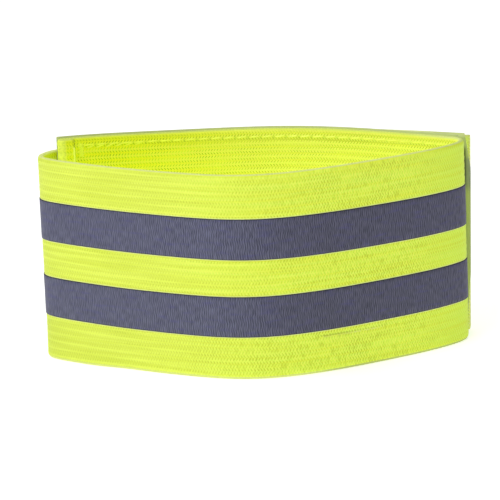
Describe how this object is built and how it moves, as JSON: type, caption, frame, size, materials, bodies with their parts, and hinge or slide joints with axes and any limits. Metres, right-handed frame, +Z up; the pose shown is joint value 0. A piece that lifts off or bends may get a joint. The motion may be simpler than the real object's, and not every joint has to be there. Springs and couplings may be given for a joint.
{
  "type": "reflective armband",
  "caption": "Woven elastic armband closed to a loop with hook-and-loop tape, with reflective strips round its outer face.",
  "frame": {"origin": "on the surface that the armband stands on, below the middle of its outline seen from above", "axes": "+Z up across the strap's width, +X along the longer way through the loop, front panel towards -Y"},
  "size_m": [0.1073, 0.0523, 0.0533],
  "materials": {
    "elastic_yellow": "matt woven elastic, fluorescent yellow",
    "reflective_grey": "grey reflective tape with a fine vertical grain",
    "tape_grey": "hook-and-loop tape, matt grey-green"
  },
  "bodies": {
    "root": {"elastic_band": "elastic_yellow", "reflective_strip_upper": "reflective_grey", "reflective_strip_lower": "reflective_grey", "loop_panel": "tape_grey", "hook_panel": "tape_grey"}
  },
  "joints": []
}
